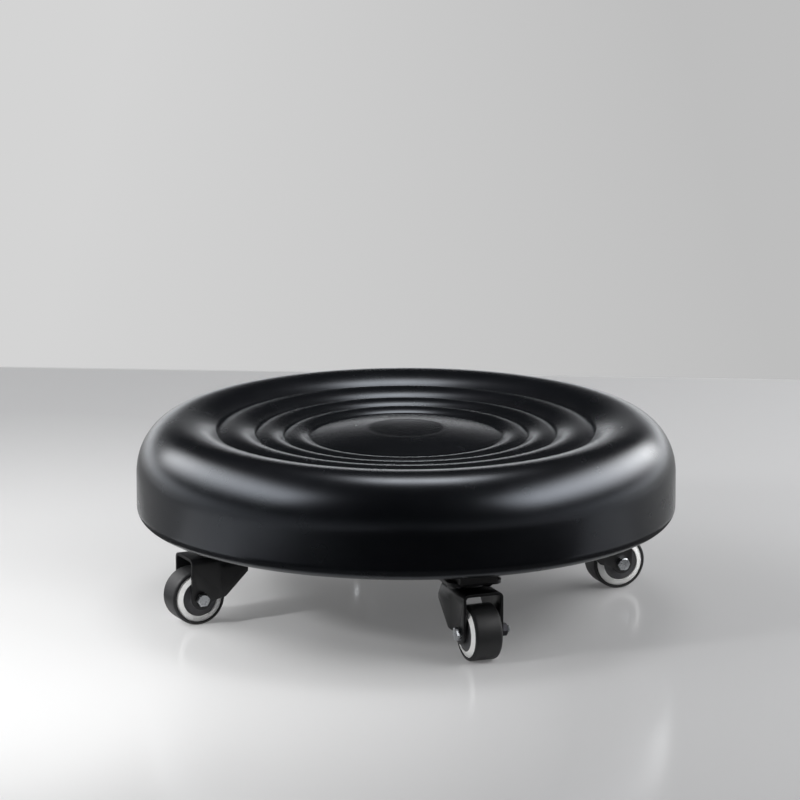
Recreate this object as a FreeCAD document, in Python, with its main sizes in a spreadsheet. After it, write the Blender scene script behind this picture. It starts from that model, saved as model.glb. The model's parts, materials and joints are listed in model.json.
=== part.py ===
import FreeCAD, Part
import math
import os
import re
import Sketcher

# Low round rolling stool: a moulded seat on a plywood board, carried by a cross of flat tube on four casters.
# Millimetres, +Z up. The origin is on the floor under the seat's centre, and -Y is the front.

doc = FreeCAD.newDocument("rolling_stool")
sheet = doc.addObject("Spreadsheet::Sheet", "Sizes")

SIZES = (
    ("seat_radius", 185.0, "outer radius of the moulded seat"),
    ("seat_thickness", 68.0, "underside to the top of the outer crown"),
    ("seat_edge_radius", 9.0, "rounding of the lower edge"),
    ("crown_radius", 36.0, "outer shoulder of the crown"),
    ("crown_reach", 19.0, "crown's top inwards to the first groove"),
    ("groove_1_depth", 8.0, "first groove below the crown's top"),
    ("groove_2_depth", 10.2, "second groove below the crown's top"),
    ("groove_3_depth", 11.7, "third groove below the crown's top"),
    ("groove_4_depth", 12.4, "innermost groove below the crown's top"),
    ("ring_1_width", 26.5, "outer ring, groove to groove"),
    ("ring_2_width", 19.5, "middle ring, groove to groove"),
    ("ring_3_width", 17.5, "inner ring, groove to groove"),
    ("ring_1_rise", 4.3, "bulge of the outer ring"),
    ("ring_2_rise", 3.3, "bulge of the middle ring"),
    ("ring_3_rise", 2.8, "bulge of the inner ring"),
    ("dome_rise", 5.0, "innermost groove up to the centre button's edge"),
    ("button_radius", 26.0, "faint circle at the centre"),
    ("button_rise", 1.3, "bulge of the centre button"),
    ("board_margin", 35.0, "seat's edge to the board's edge"),
    ("board_thickness", 12.0, "plywood board"),
    ("soft_gap", 0.3, "cushion to board, all round"),
    ("swivel_inset", 52.0, "seat's edge to a caster's swivel axis"),
    ("arm_angle", 18.0, "first arm of the cross, from +X"),
    ("bar_width", 27.0, "flat tube, across"),
    ("bar_height", 10.0, "flat tube, upright"),
    ("bar_wall", 1.5, "flat tube's wall"),
    ("cap_flange", 2.0, "end cap outside the tube"),
    ("cap_plug", 5.0, "end cap inside the tube"),
    ("cap_clear", 1.0, "end cap's plug to the nearest plate screws"),
    ("cap_gap", 0.15, "end cap's plug to the tube's wall"),
    ("bolt_inset", 30.0, "side of the cross bar to the inner frame bolt"),
    ("bolt_clear", 24.0, "caster plate to the outer frame bolt"),
    ("bolt_radius", 3.0, "frame bolts"),
    ("bolt_flats", 10.0, "frame bolt's hex head across flats"),
    ("bolt_head", 4.0, "height of that head"),
    ("bolt_gap", 0.05, "bolt to its hole"),
    ("bolt_stop", 3.0, "frame bolt's end below the board's top"),
    ("tee_barrel_radius", 4.2, "tee nut's barrel"),
    ("tee_flange_radius", 8.5, "tee nut's flange"),
    ("tee_flange", 1.3, "tee nut's flange thickness"),
    ("tee_stand", 2.0, "tee nut's lower end above the board's underside"),
    ("seat_fit", 0.02, "pressed pieces to their seats"),
    ("plate_side", 38.0, "square caster plate"),
    ("plate_corner", 7.0, "corner radius of the caster plate"),
    ("plate_thickness", 2.5, "caster plate"),
    ("screw_radius", 2.4, "plate screws"),
    ("screw_head_radius", 3.9, "plate screw's head"),
    ("screw_head", 2.0, "plate screw's head height"),
    ("screw_edge", 5.5, "plate's edge to a screw"),
    ("screw_wall_gap", 0.6, "screw to the inside of the tube's side"),
    ("screw_reach", 3.0, "plate screw beyond the tube's lower wall"),
    ("screw_gap", 0.15, "screw to the hole in the plate"),
    ("king_pin_radius", 3.5, "swivel pin"),
    ("king_head_radius", 7.0, "swivel pin's lower head"),
    ("king_head", 1.2, "thickness of that head"),
    ("king_gap", 0.3, "fork to that head"),
    ("running_gap", 0.06, "turning shafts, radial"),
    ("swivel_gap", 3.4, "fork to caster plate"),
    ("race_radius", 7.5, "circle of the swivel balls"),
    ("race_depth", 0.3, "how far a ball sinks into each race"),
    ("ball_gap", 0.05, "ball to race"),
    ("cup_gap", 0.3, "ball to the wall of the swivel cup"),
    ("cup_wall", 1.2, "wall of the swivel cup"),
    ("cup_clear", 0.5, "swivel cup's rim to the plate"),
    ("fork_sheet", 2.0, "fork's steel sheet"),
    ("fork_bend", 4.0, "outer radius of the fork's shoulders"),
    ("fork_front", 13.5, "swivel axis to the fork's front edge"),
    ("fork_disc_radius", 14.0, "round crown about the swivel axis"),
    ("fork_drop", 9.0, "crown down to where the leading edge turns in"),
    ("fork_foot", 17.0, "axle forward to the foot of the leading edge"),
    ("fork_foot_rise", 1.0, "that foot above the axle"),
    ("tab_radius", 7.2, "cheek's round end about the axle"),
    ("tab_turn", 20.0, "degrees below level where the round end meets the cheek"),
    ("trail", 20.0, "swivel axis to axle"),
    ("crown_gap", 7.0, "top of the wheel to the fork's crown"),
    ("wheel_radius", 19.0, "wheel over its tyre"),
    ("wheel_width", 22.4, "wheel over the faces of its core"),
    ("wheel_side_gap", 1.1, "wheel to cheek"),
    ("tyre_thickness", 2.2, "tyre on the core"),
    ("tyre_shoulder", 2.0, "rounding of the tyre's edges"),
    ("tyre_set", 1.5, "tyre's side inside the core's face"),
    ("rim_depth", 4.4, "pale ring on the wheel's face"),
    ("rim_bevel", 2.3, "how far that ring slopes in towards the tyre"),
    ("web_thickness", 5.0, "disc between rim and hub"),
    ("hub_radius", 7.6, "core's hub"),
    ("hub_cover", 1.2, "hub cover's thickness"),
    ("hub_cover_set", 0.8, "hub cover inside the pale ring's face"),
    ("hub_boss_radius", 6.2, "raised middle of the hub cover"),
    ("hub_boss", 1.0, "height of that middle"),
    ("bush_wall", 2.4, "wheel bush"),
    ("bush_length", 4.5, "wheel bush"),
    ("sleeve_wall", 0.6, "axle sleeve round the bolt"),
    ("hub_gap", 0.5, "hub and covers to the axle sleeve"),
    ("axle_radius", 2.5, "axle bolt"),
    ("axle_flats", 8.0, "axle bolt's head and nut across flats"),
    ("axle_head", 3.5, "height of that head"),
    ("nut_height", 5.0, "axle nut"),
    ("axle_tail", 2.0, "axle bolt beyond its nut"),
    ("heading_right", 201.5, "way the right caster points, from +X"),
    ("heading_rear", 62.0, "way the rear caster points, from +X"),
    ("heading_left", 25.0, "way the left caster points, from +X"),
    ("heading_front", 112.0, "way the front caster points, from +X"),
)
BALL_COUNT = 10

# Limits that keep the roundings buildable: the most of the crown's gap that a bend takes,
# the least inner radius of a bend, and the most of the tyre's thickness that its shoulder takes
BEND_SHARE = 0.9
LEAST_BEND = 0.2
SHOULDER_SHARE = 0.95

for row, (alias, number, words) in enumerate(SIZES, start=1):
    sheet.set(f"A{row}", words)
    sheet.set(f"B{row}", str(number))
    sheet.setAlias(f"B{row}", alias)
doc.recompute()

# Heights and places that several pieces share, worked out from the sizes
CROWN_BOTTOM = "(2*wheel_radius + crown_gap)"
CROWN_TOP = f"({CROWN_BOTTOM} + fork_sheet)"
PLATE_BOTTOM = f"({CROWN_TOP} + swivel_gap)"
PLATE_TOP = f"({PLATE_BOTTOM} + plate_thickness)"
SEAT_BOTTOM = f"({PLATE_TOP} + bar_height)"
SEAT_TOP = f"({SEAT_BOTTOM} + seat_thickness)"
BOARD_TOP = f"({SEAT_BOTTOM} + board_thickness)"
BOARD_RADIUS = "(seat_radius - board_margin)"
SWIVEL_RADIUS = "(seat_radius - swivel_inset)"
BOLT_IN = "(bar_width/2 + bolt_inset)"
BOLT_OUT = f"({SWIVEL_RADIUS} - plate_side/2 - bolt_clear)"
SCREW_ALONG = "(plate_side/2 - screw_edge)"
BAR_END = f"({SWIVEL_RADIUS} + {SCREW_ALONG} + screw_radius + cap_clear + cap_plug)"
SCREW_ACROSS = "(bar_width/2 - bar_wall - screw_wall_gap - screw_radius)"
BALL_RADIUS = "(swivel_gap/2 + race_depth)"
BALL_HEIGHT = f"({CROWN_TOP} + swivel_gap/2)"
RACE_SECTION = f"({BALL_RADIUS} + ball_gap)"
CUP_INNER = f"(race_radius + {BALL_RADIUS} + cup_gap)"
FORK_INNER = "(wheel_width/2 + wheel_side_gap)"
FORK_OUTER = f"({FORK_INNER} + fork_sheet)"
RIM_RADIUS = "(wheel_radius - tyre_thickness)"
RIM_FACE = "(wheel_width/2)"
COVER_FACE = f"({RIM_FACE} - hub_cover_set)"
HUB_FACE = f"({COVER_FACE} - hub_cover)"
SLEEVE_RADIUS = "(axle_radius + bolt_gap + sleeve_wall)"
BUSH_RADIUS = f"({SLEEVE_RADIUS} + running_gap + bush_wall)"
HUB_BORE = f"({SLEEVE_RADIUS} + hub_gap)"

ALIASES = re.compile(r"\b(" + "|".join(alias for alias, number, words in SIZES) + r")\b")
nodes = {}


def bound(text):
    return ALIASES.sub(r"Sizes.\1", text)


def worth(text):
    return float(sheet.evalExpression(bound(text)))


def new_body(name):
    body = doc.addObject("PartDesign::Body", name)
    body.Label = name
    return body


def new_sketch(body, name, role, offset=None):
    sketch = body.newObject("Sketcher::SketchObject", f"{body.Name}_{name}")
    plane = [feature for feature in body.Origin.OriginFeatures if feature.Role == role][0]
    sketch.AttachmentSupport = (plane, [""])
    sketch.MapMode = "FlatFace"
    if offset:
        sketch.setExpression("AttachmentOffset.Base.z", bound(offset))
    return sketch


def fix(sketch, kind, text, *where):
    index = sketch.addConstraint(Sketcher.Constraint(kind, *where, worth(text)))
    sketch.setExpression(f"Constraints[{index}]", bound(text))


# Closed outline through the corners; arcs maps a corner's index to the radius of the arc that leaves it
# and to its turning sense, 1 for counter-clockwise and -1 for clockwise
def outline(sketch, corners, arcs=None):
    arcs = arcs or {}
    spots = [FreeCAD.Vector(worth(x), worth(y), 0) for x, y in corners]
    ends = []
    for index, start in enumerate(spots):
        stop = spots[(index + 1) % len(spots)]
        if index not in arcs:
            edge = sketch.addGeometry(Part.LineSegment(start, stop))
            ends.append((edge, 1, 2))
            continue
        radius, sense = arcs[index]
        chord = stop - start
        height = math.sqrt(max(worth(radius)**2 - chord.Length**2 / 4, 0.0))
        across = FreeCAD.Vector(-chord.y, chord.x, 0).normalize()
        centre = (start + stop) * 0.5 + across * (sense * height)
        first, last = (start, stop) if sense > 0 else (stop, start)
        angles = [math.atan2(spot.y - centre.y, spot.x - centre.x) for spot in (first, last)]
        circle = Part.Circle(centre, FreeCAD.Vector(0, 0, 1), worth(radius))
        edge = sketch.addGeometry(Part.ArcOfCircle(circle, *angles))
        ends.append((edge, 1, 2) if sense > 0 else (edge, 2, 1))
    for index, (edge, begin, end) in enumerate(ends):
        following, following_begin, following_end = ends[(index + 1) % len(ends)]
        sketch.addConstraint(Sketcher.Constraint("Coincident", edge, end, following, following_begin))
    for (edge, begin, end), (x, y) in zip(ends, corners):
        fix(sketch, "DistanceX", x, -1, 1, edge, begin)
        fix(sketch, "DistanceY", y, -1, 1, edge, begin)
    for index, (radius, sense) in arcs.items():
        fix(sketch, "Radius", radius, ends[index][0])


def rectangle(sketch, left, right, low, high):
    outline(sketch, ((left, low), (right, low), (right, high), (left, high)))


def circles(sketch, centres, radius):
    for x, y in centres:
        centre = FreeCAD.Vector(worth(x), worth(y), 0)
        edge = sketch.addGeometry(Part.Circle(centre, FreeCAD.Vector(0, 0, 1), worth(radius)))
        fix(sketch, "Radius", radius, edge)
        fix(sketch, "DistanceX", x, -1, 1, edge, 3)
        fix(sketch, "DistanceY", y, -1, 1, edge, 3)


def hexagon(sketch, flats):
    corners = [(f"{flats}/sqrt(3)*cos({turn})", f"{flats}/sqrt(3)*sin({turn})") for turn in range(0, 360, 60)]
    outline(sketch, corners)


def feature(body, kind, sketch, length=None, reverse=False, both_ways=False):
    made = body.newObject(f"PartDesign::{kind}", f"{sketch.Name}_{kind.lower()}")
    made.Profile = sketch
    if kind in ("Revolution", "Groove"):
        made.ReferenceAxis = (sketch, ["V_Axis"])
        made.Angle = 360
        return made
    made.Reversed = reverse
    made.Midplane = both_ways
    if length:
        made.setExpression("Length", bound(length))
    else:
        made.Type = "ThroughAll"
    return made


def stand(piece, x="0", y="0", z="0", turn="0"):
    for axis, text in (("x", x), ("y", y), ("z", z)):
        piece.setExpression(f"Placement.Base.{axis}", bound(text))
    piece.setExpression("Placement.Rotation.Angle", bound(turn))


def node(piece, name):
    piece.Label = name
    nodes[name] = piece
    return piece


def copy_of(pattern, name, **place):
    piece = doc.addObject("Part::Compound", name)
    piece.Links = [pattern]
    stand(piece, **place)
    return piece


def group_of(pattern, name, places):
    copies = [copy_of(pattern, f"{name}_{index}", **place) for index, place in enumerate(places)]
    group = doc.addObject("Part::Compound", name)
    group.Links = copies
    return group


# A bulge of the seat between two grooves: radius of the arc from its width, its step and its rise
def bulge(width, step, rise):
    return f"((({width})^2 + ({step})^2)/4 + ({rise})^2)/(2*({rise}))"


# A quarter-round or shorter arc that leaves a level top and comes down by drop over reach
def shoulder(reach, drop):
    return f"(({reach})^2 + ({drop})^2)/(2*({drop}))"


def seat_cushion():
    body = new_body("seat_cushion")
    profile = new_sketch(body, "profile", "XZ_Plane")
    apex = "(seat_radius - crown_radius)"
    groove = [f"({apex} - crown_reach)"]
    for ring in (1, 2, 3):
        groove.append(f"({groove[-1]} - ring_{ring}_width)")
    depth = [f"({SEAT_TOP} - groove_{count}_depth)" for count in (1, 2, 3, 4)]
    dome = f"({depth[3]} + dome_rise)"
    recess = f"({BOARD_RADIUS} + soft_gap)"
    corners = (
        (recess, SEAT_BOTTOM),
        ("seat_radius - seat_edge_radius", SEAT_BOTTOM),
        ("seat_radius", f"{SEAT_BOTTOM} + seat_edge_radius"),
        ("seat_radius", f"{SEAT_TOP} - crown_radius"),
        (apex, SEAT_TOP),
        (groove[0], depth[0]),
        (groove[1], depth[1]),
        (groove[2], depth[2]),
        (groove[3], depth[3]),
        ("button_radius", dome),
        ("0", f"{dome} + button_rise"),
        ("0", BOARD_TOP),
        (recess, BOARD_TOP),
    )
    arcs = {
        1: ("seat_edge_radius", 1),
        3: ("crown_radius", 1),
        4: (shoulder("crown_reach", "groove_1_depth"), 1),
        5: (bulge("ring_1_width", "groove_2_depth - groove_1_depth", "ring_1_rise"), 1),
        6: (bulge("ring_2_width", "groove_3_depth - groove_2_depth", "ring_2_rise"), 1),
        7: (bulge("ring_3_width", "groove_4_depth - groove_3_depth", "ring_3_rise"), 1),
        8: (shoulder(f"{groove[3]} - button_radius", "dome_rise"), 1),
        9: (shoulder("button_radius", "button_rise"), 1),
    }
    outline(profile, corners, arcs)
    feature(body, "Revolution", profile)
    node(body, "seat_cushion")


# Frame bolts and tee nuts: two on each arm of the cross, in the cross's own frame
def bolt_centres(arms):
    centres = []
    for quarter in arms:
        across, along = round(math.cos(math.pi/2*quarter)), round(math.sin(math.pi/2*quarter))
        centres += [(f"{across}*{reach}", f"{along}*{reach}") for reach in (BOLT_IN, BOLT_OUT)]
    return centres


def seat_board():
    body = new_body("seat_board")
    disc = new_sketch(body, "disc", "XY_Plane", SEAT_BOTTOM)
    circles(disc, [("0", "0")], BOARD_RADIUS)
    feature(body, "Pad", disc, "board_thickness")
    holes = new_sketch(body, "holes", "XY_Plane", SEAT_BOTTOM)
    circles(holes, bolt_centres(range(4)), "tee_barrel_radius + seat_fit")
    feature(body, "Pocket", holes, both_ways=True)
    seats = new_sketch(body, "seats", "XY_Plane", BOARD_TOP)
    circles(seats, bolt_centres(range(4)), "tee_flange_radius + seat_fit")
    feature(body, "Pocket", seats, "tee_flange + seat_fit")
    stand(body, turn="arm_angle")
    node(body, "seat_board")


def tee_nuts():
    pattern = new_body("tee_nut")
    profile = new_sketch(pattern, "profile", "XZ_Plane")
    bore = "(bolt_radius + bolt_gap)"
    step = f"({BOARD_TOP} - tee_flange)"
    corners = (
        (bore, f"{SEAT_BOTTOM} + tee_stand"),
        ("tee_barrel_radius", f"{SEAT_BOTTOM} + tee_stand"),
        ("tee_barrel_radius", step),
        ("tee_flange_radius", step),
        ("tee_flange_radius", BOARD_TOP),
        (bore, BOARD_TOP),
    )
    outline(profile, corners)
    feature(pattern, "Revolution", profile)
    group = group_of(pattern, "board_tee_nuts", [dict(x=x, y=y) for x, y in bolt_centres(range(4))])
    stand(group, turn="arm_angle")
    node(group, "board_tee_nuts")


def frame_bolts():
    pattern = new_body("frame_bolt")
    head = new_sketch(pattern, "head", "XY_Plane", f"{PLATE_TOP} - bolt_head")
    hexagon(head, "bolt_flats")
    feature(pattern, "Pad", head, "bolt_head")
    shank = new_sketch(pattern, "shank", "XY_Plane", PLATE_TOP)
    circles(shank, [("0", "0")], "bolt_radius")
    feature(pattern, "Pad", shank, "bar_height + board_thickness - bolt_stop")
    group = group_of(pattern, "frame_bolts", [dict(x=x, y=y) for x, y in bolt_centres(range(4))])
    stand(group, turn="arm_angle")
    node(group, "frame_bolts")


# The four screws of one caster plate, about its swivel axis
def screw_centres(middle="0"):
    return [(f"{middle} + {along}*{SCREW_ALONG}", f"{across}*{SCREW_ACROSS}")
            for along in (-1, 1) for across in (-1, 1)]


def frame_bar(name, start, stop, bolts, swivels, turn):
    body = new_body(name)
    tube = new_sketch(body, "tube", "YZ_Plane", start)
    rectangle(tube, "-bar_width/2", "bar_width/2", PLATE_TOP, SEAT_BOTTOM)
    rectangle(tube, "-(bar_width/2 - bar_wall)", "bar_width/2 - bar_wall",
              f"{PLATE_TOP} + bar_wall", f"{SEAT_BOTTOM} - bar_wall")
    feature(body, "Pad", tube, f"{stop} - ({start})")
    holes = new_sketch(body, "bolt_holes", "XY_Plane", PLATE_TOP)
    circles(holes, bolts, "bolt_radius + bolt_gap")
    feature(body, "Pocket", holes, both_ways=True)
    threads = new_sketch(body, "screw_holes", "XY_Plane", PLATE_TOP)
    for middle in swivels:
        circles(threads, screw_centres(middle), "screw_radius + seat_fit")
    feature(body, "Pocket", threads, "2*bar_wall", reverse=True)
    stand(body, turn=turn)
    node(body, name)


def frame_bars():
    frame_bar("frame_bar_long", f"-{BAR_END}", BAR_END, bolt_centres((0, 2)),
              (SWIVEL_RADIUS, f"-{SWIVEL_RADIUS}"), "arm_angle")
    for name, quarter in (("frame_bar_rear", 1), ("frame_bar_front", 3)):
        turn = f"arm_angle + {90*quarter}"
        frame_bar(name, "bar_width/2", BAR_END, bolt_centres((0,)), (SWIVEL_RADIUS,), turn)


def bar_end_caps():
    pattern = new_body("bar_end_cap")
    flange = new_sketch(pattern, "flange", "YZ_Plane", BAR_END)
    rectangle(flange, "-bar_width/2", "bar_width/2", PLATE_TOP, SEAT_BOTTOM)
    feature(pattern, "Pad", flange, "cap_flange")
    plug = new_sketch(pattern, "plug", "YZ_Plane", BAR_END)
    inset = "(bar_wall + cap_gap)"
    side = f"(bar_width/2 - {inset})"
    rectangle(plug, f"-{side}", side, f"{PLATE_TOP} + {inset}", f"{SEAT_BOTTOM} - {inset}")
    feature(pattern, "Pad", plug, "cap_plug", reverse=True)
    places = [dict(turn=f"arm_angle + {90*quarter}") for quarter in range(4)]
    node(group_of(pattern, "bar_end_caps", places), "bar_end_caps")


# A ball race: a round groove about the swivel axis, in the fork's crown and in the plate's underside
def race(body):
    section = new_sketch(body, "race", "XZ_Plane")
    circles(section, [("race_radius", BALL_HEIGHT)], RACE_SECTION)
    feature(body, "Groove", section)


def caster_plate():
    body = new_body("caster_plate")
    sketch = new_sketch(body, "square", "XY_Plane", PLATE_BOTTOM)
    half, inner = "(plate_side/2)", "(plate_side/2 - plate_corner)"
    corners = (
        (f"-{inner}", f"-{half}"), (inner, f"-{half}"), (half, f"-{inner}"), (half, inner),
        (inner, half), (f"-{inner}", half), (f"-{half}", inner), (f"-{half}", f"-{inner}"),
    )
    outline(sketch, corners, {index: ("plate_corner", 1) for index in (1, 3, 5, 7)})
    feature(body, "Pad", sketch, "plate_thickness")
    holes = new_sketch(body, "holes", "XY_Plane", PLATE_BOTTOM)
    circles(holes, screw_centres(), "screw_radius + screw_gap")
    circles(holes, [("0", "0")], "king_pin_radius + seat_fit")
    feature(body, "Pocket", holes, both_ways=True)
    race(body)
    return body


def king_pin():
    body = new_body("king_pin")
    profile = new_sketch(body, "profile", "XZ_Plane")
    top = f"({CROWN_BOTTOM} - king_gap)"
    dome = "(king_head/2)"
    corners = (
        ("0", f"{top} - king_head"),
        ("king_head_radius - king_head/2", f"{top} - king_head"),
        ("king_head_radius", f"{top} - king_head + {dome}"),
        ("king_head_radius", top),
        ("king_pin_radius", top),
        ("king_pin_radius", PLATE_TOP),
        ("0", PLATE_TOP),
    )
    outline(profile, corners, {1: (dome, 1)})
    feature(body, "Revolution", profile)
    return body


def plate_screws():
    pattern = new_body("plate_screw")
    profile = new_sketch(pattern, "profile", "XZ_Plane")
    tip = f"({PLATE_TOP} + bar_wall + screw_reach)"
    rounding = "(screw_head/2)"
    corners = (
        ("0", f"{PLATE_BOTTOM} - screw_head"),
        (f"screw_head_radius - {rounding}", f"{PLATE_BOTTOM} - screw_head"),
        ("screw_head_radius", f"{PLATE_BOTTOM} - {rounding}"),
        ("screw_head_radius", PLATE_BOTTOM),
        ("screw_radius", PLATE_BOTTOM),
        ("screw_radius", f"{tip} - screw_radius/2"),
        ("screw_radius/2", tip),
        ("0", tip),
    )
    outline(profile, corners, {1: (rounding, 1)})
    feature(pattern, "Revolution", profile)
    arms = []
    for quarter in range(4):
        places = [dict(x=x, y=y) for x, y in screw_centres(SWIVEL_RADIUS)]
        arm = group_of(pattern, f"plate_screws_{quarter}", places)
        stand(arm, turn=f"arm_angle + {90*quarter}")
        arms.append(arm)
    group = doc.addObject("Part::Compound", "plate_screws")
    group.Links = arms
    node(group, "plate_screws")


# The fork: a folded channel, cut to the cheeks' outline, with a round crown and a cup for the balls
def fork():
    body = new_body("fork")
    rear = "(trail + tab_radius)"
    channel = new_sketch(body, "channel", "YZ_Plane", f"-{rear}")
    foot = "(wheel_radius - tab_radius)"
    bend = f"min(fork_bend; {BEND_SHARE}*crown_gap)"
    inside = f"max({bend} - fork_sheet; {LEAST_BEND})"
    corners = (
        (f"-{FORK_OUTER}", foot),
        (f"-{FORK_INNER}", foot),
        (f"-{FORK_INNER}", f"{CROWN_BOTTOM} - {inside}"),
        (f"-({FORK_INNER} - {inside})", CROWN_BOTTOM),
        (f"{FORK_INNER} - {inside}", CROWN_BOTTOM),
        (FORK_INNER, f"{CROWN_BOTTOM} - {inside}"),
        (FORK_INNER, foot),
        (FORK_OUTER, foot),
        (FORK_OUTER, f"{CROWN_TOP} - {bend}"),
        (f"{FORK_OUTER} - {bend}", CROWN_TOP),
        (f"-({FORK_OUTER} - {bend})", CROWN_TOP),
        (f"-{FORK_OUTER}", f"{CROWN_TOP} - {bend}"),
    )
    outline(channel, corners, {2: (inside, -1), 4: (inside, -1), 8: (bend, 1), 10: (bend, 1)})
    feature(body, "Pad", channel, f"{rear} + fork_front")
    disc = new_sketch(body, "disc", "XY_Plane", CROWN_BOTTOM)
    circles(disc, [("0", "0")], "fork_disc_radius")
    feature(body, "Pad", disc, "fork_sheet")
    cup = new_sketch(body, "cup", "XY_Plane", CROWN_TOP)
    circles(cup, [("0", "0")], CUP_INNER)
    circles(cup, [("0", "0")], f"{CUP_INNER} + cup_wall")
    feature(body, "Pad", cup, "swivel_gap - cup_clear")
    waste = new_sketch(body, "waste", "XZ_Plane")
    beyond = "fork_sheet"
    corners = (
        (f"-{rear}", "wheel_radius"),
        ("-trail + tab_radius*cos(tab_turn)", "wheel_radius - tab_radius*sin(tab_turn)"),
        ("-trail + fork_foot", "wheel_radius + fork_foot_rise"),
        ("fork_front", f"{CROWN_BOTTOM} - fork_drop"),
        (f"fork_front + {beyond}", f"{CROWN_BOTTOM} - fork_drop"),
        (f"fork_front + {beyond}", f"{foot} - {beyond}"),
        (f"-{rear} - {beyond}", f"{foot} - {beyond}"),
        (f"-{rear} - {beyond}", "wheel_radius"),
    )
    outline(waste, corners, {0: ("tab_radius", 1)})
    feature(body, "Pocket", waste, both_ways=True)
    axle = new_sketch(body, "axle_hole", "XZ_Plane")
    circles(axle, [("-trail", "wheel_radius")], "axle_radius + bolt_gap")
    feature(body, "Pocket", axle, both_ways=True)
    pin = new_sketch(body, "pin_hole", "XY_Plane", CROWN_BOTTOM)
    circles(pin, [("0", "0")], "king_pin_radius + running_gap")
    feature(body, "Pocket", pin, both_ways=True)
    race(body)
    return body


def swivel_balls():
    ball = doc.addObject("Part::Sphere", "swivel_ball")
    ball.setExpression("Radius", bound(BALL_RADIUS))
    places = []
    for index in range(BALL_COUNT):
        turn = 360 * index / BALL_COUNT
        places.append(dict(x=f"race_radius*cos({turn})", y=f"race_radius*sin({turn})", z=BALL_HEIGHT))
    return group_of(ball, "swivel_balls", places)


# Wheel pieces are turned about the axle, which lies along Y through the local origin
def turned(name, corners, arcs=None):
    body = new_body(name)
    profile = new_sketch(body, "profile", "XY_Plane")
    outline(profile, corners, arcs)
    feature(body, "Revolution", profile)
    return body


def tyre():
    half = "(wheel_width/2 - tyre_set)"
    edge = f"min(tyre_shoulder; {SHOULDER_SHARE}*tyre_thickness)"
    corners = (
        (RIM_RADIUS, f"-{half}"),
        (f"wheel_radius - {edge}", f"-{half}"),
        ("wheel_radius", f"-({half} - {edge})"),
        ("wheel_radius", f"{half} - {edge}"),
        (f"wheel_radius - {edge}", half),
        (RIM_RADIUS, half),
    )
    return turned("tyre", corners, {1: (edge, 1), 3: (edge, 1)})


def wheel_core():
    rim = f"({RIM_RADIUS} - seat_fit)"
    well = f"({RIM_RADIUS} - rim_depth)"
    bush = f"({BUSH_RADIUS} + seat_fit)"
    stop = f"({HUB_FACE} - bush_length)"
    web = "web_thickness/2"
    upper = (
        (HUB_BORE, stop), (bush, stop), (bush, HUB_FACE), ("hub_radius", HUB_FACE),
        ("hub_radius", web), (well, web), (well, RIM_FACE), (rim, f"{RIM_FACE} - rim_bevel"),
    )
    lower = tuple((x, f"-({y})") for x, y in reversed(upper))
    return turned("wheel_core", upper + lower)


def hub_cover():
    bore = HUB_BORE
    edge = f"({RIM_RADIUS} - rim_depth - seat_fit)"
    corners = (
        (bore, HUB_FACE), (edge, HUB_FACE), (edge, COVER_FACE), ("hub_boss_radius + hub_boss", COVER_FACE),
        ("hub_boss_radius", f"{COVER_FACE} + hub_boss"), (bore, f"{COVER_FACE} + hub_boss"),
    )
    return turned("hub_cover", corners)


def wheel_bush():
    bore, stop = f"{SLEEVE_RADIUS} + running_gap", f"{HUB_FACE} - bush_length"
    return turned("wheel_bush", ((bore, stop), (BUSH_RADIUS, stop), (BUSH_RADIUS, HUB_FACE), (bore, HUB_FACE)))


def axle_sleeve():
    bore, far = "axle_radius + bolt_gap", f"-{FORK_INNER}"
    corners = ((bore, far), (SLEEVE_RADIUS, far), (SLEEVE_RADIUS, FORK_INNER), (bore, FORK_INNER))
    return turned("axle_sleeve", corners)


# The axle bolt's head is on the side that sketches on the XZ plane face, and its nut on the other
def axle_bolt():
    body = new_body("axle_bolt")
    head = new_sketch(body, "head", "XZ_Plane", FORK_OUTER)
    hexagon(head, "axle_flats")
    feature(body, "Pad", head, "axle_head")
    shank = new_sketch(body, "shank", "XZ_Plane", FORK_OUTER)
    circles(shank, [("0", "0")], "axle_radius")
    feature(body, "Pad", shank, f"2*{FORK_OUTER} + nut_height + axle_tail", reverse=True)
    return body


def axle_nut():
    body = new_body("axle_nut")
    sketch = new_sketch(body, "hex", "XZ_Plane", f"-{FORK_OUTER}")
    hexagon(sketch, "axle_flats")
    circles(sketch, [("0", "0")], "axle_radius + bolt_gap")
    feature(body, "Pad", sketch, "nut_height", reverse=True)
    return body


# Two alike pieces on one axle, one at each face of the wheel
def pair(pattern, name):
    return group_of(pattern, name, [dict(), dict(turn="180")])


# Casters in order round the cross; the last value turns the axle bolt so that its head is on the other cheek
CASTERS = (("right", 0, 180), ("rear", 1, 0), ("left", 2, 0), ("front", 3, 180))


def casters():
    fixed = {"caster_plate": caster_plate(), "king_pin": king_pin()}
    swivelling = {"fork": fork(), "swivel_balls": swivel_balls()}
    wheel = {
        "axle_sleeve": axle_sleeve(), "tyre": tyre(), "wheel_core": wheel_core(),
        "hub_covers": pair(hub_cover(), "hub_covers"), "wheel_bushes": pair(wheel_bush(), "wheel_bushes"),
    }
    axle = {"axle_bolt": axle_bolt(), "axle_nut": axle_nut()}
    for side, quarter, flip in CASTERS:
        arm = f"(arm_angle + {90*quarter})"
        heading = f"heading_{side}"
        x, y = f"{SWIVEL_RADIUS}*cos({arm})", f"{SWIVEL_RADIUS}*sin({arm})"
        pivot = dict(x=x, y=y)
        hub = dict(x=f"{x} - trail*cos({heading})", y=f"{y} - trail*sin({heading})", z="wheel_radius")
        sets = (
            (fixed, pivot, arm),
            (swivelling, pivot, heading),
            (wheel, hub, heading),
            (axle, hub, f"{heading} + {flip}"),
        )
        for patterns, place, turn in sets:
            for name, pattern in patterns.items():
                label = f"{name}_{side}"
                node(copy_of(pattern, label, turn=turn, **place), label)


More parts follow.
